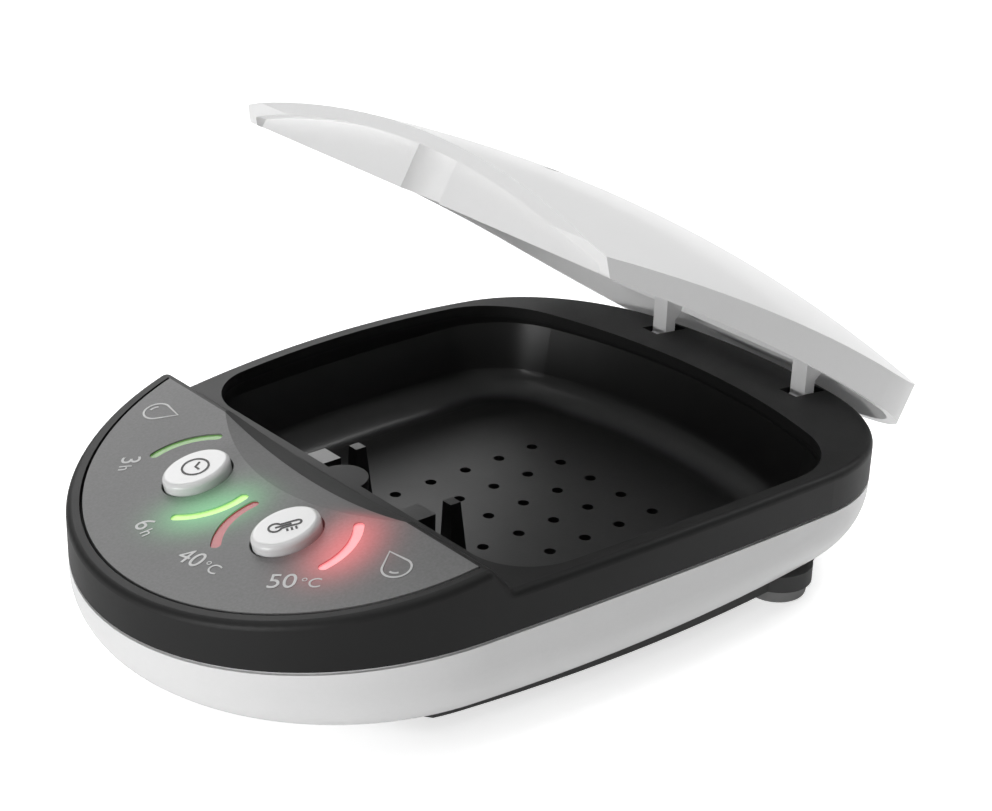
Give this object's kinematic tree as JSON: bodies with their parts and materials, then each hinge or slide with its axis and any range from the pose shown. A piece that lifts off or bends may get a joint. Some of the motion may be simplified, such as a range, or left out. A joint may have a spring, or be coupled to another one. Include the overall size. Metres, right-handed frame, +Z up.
{
  "type": "hearing aid dryer",
  "caption": "Small oval drying case with an open hinged lid, a heated basin with a perforated floor and a sloping control panel with two buttons.",
  "frame": {"origin": "middle of the bounding box of the object at rest, lid open, on the plane the feet stand on", "axes": "+X from the control panel towards the hinge end, +Y to the left of somebody who looks from the panel to the hinge, +Z up"},
  "size_m": [0.1428, 0.094, 0.0791],
  "materials": {
    "shell_white": "satin white moulded plastic",
    "housing_black": "semi-gloss black moulded plastic",
    "basin_black": "gloss black moulded plastic",
    "grille_black": "fine satin black moulded plastic",
    "panel_grey": "fine matte mid grey moulded plastic",
    "lid_white": "satin white moulded plastic",
    "button_white": "gloss white moulded plastic",
    "window_green": "translucent green light guide, unlit",
    "window_green_lit": "translucent green light guide, lit",
    "window_red": "translucent red light guide, unlit",
    "window_red_lit": "translucent red light guide, lit",
    "board_green": "solder-masked fibreglass board",
    "switch_black": "moulded switch body",
    "led_clear": "clear moulded lamp",
    "screw_steel": "zinc-plated steel",
    "pin_steel": "ground steel",
    "heater_aluminium": "rolled aluminium sheet",
    "film_amber": "polyimide heating film",
    "cutout_black": "moulded safety cut-out",
    "base_grey": "matte dark grey moulded plastic",
    "foot_rubber": "grey rubber",
    "jack_black": "moulded inlet"
  },
  "bodies": {
    "case": {"base_plate": "base_grey", "base_screws": "screw_steel", "board_screws": "screw_steel", "button_pads": "foot_rubber", "circuit_board": "board_green", "control_panel": "panel_grey", "drying_basin": "basin_black", "floor_grille": "grille_black", "foot_front_left": "foot_rubber", "foot_front_right": "foot_rubber", "foot_rear_left": "foot_rubber", "foot_rear_right": "foot_rubber", "heater_film": "film_amber", "heater_plate": "heater_aluminium", "hinge_pin_left": "pin_steel", "hinge_pin_right": "pin_steel", "indicator_leds": "led_clear", "lower_shell": "shell_white", "power_jack": "jack_black", "temp_switch": "switch_black", "thermal_cutout": "cutout_black", "time_switch": "switch_black", "upper_housing": "housing_black", "window_3h": "window_green", "window_40c": "window_red", "window_50c": "window_red_lit", "window_6h": "window_green_lit"},
    "lid": {"lid": "lid_white"},
    "time_button": {"time_button": "button_white"},
    "temp_button": {"temp_button": "button_white"}
  },
  "joints": [
    {"name": "lid_hinge", "type": "hinge", "parent": "case", "child": "lid", "pos_m": [0.05935, 0, 0.02], "axis": [0, 1, 0], "range_deg": [-30, 20]},
    {"name": "time_button_press", "type": "slide", "parent": "case", "child": "time_button", "axis": [0.2164, 0, -0.9763], "range_m": [0, 0.0006], "stiffness_N_per_m": 300},
    {"name": "temp_button_press", "type": "slide", "parent": "case", "child": "temp_button", "axis": [0.2164, 0, -0.9763], "range_m": [0, 0.0006], "stiffness_N_per_m": 300}
  ]
}
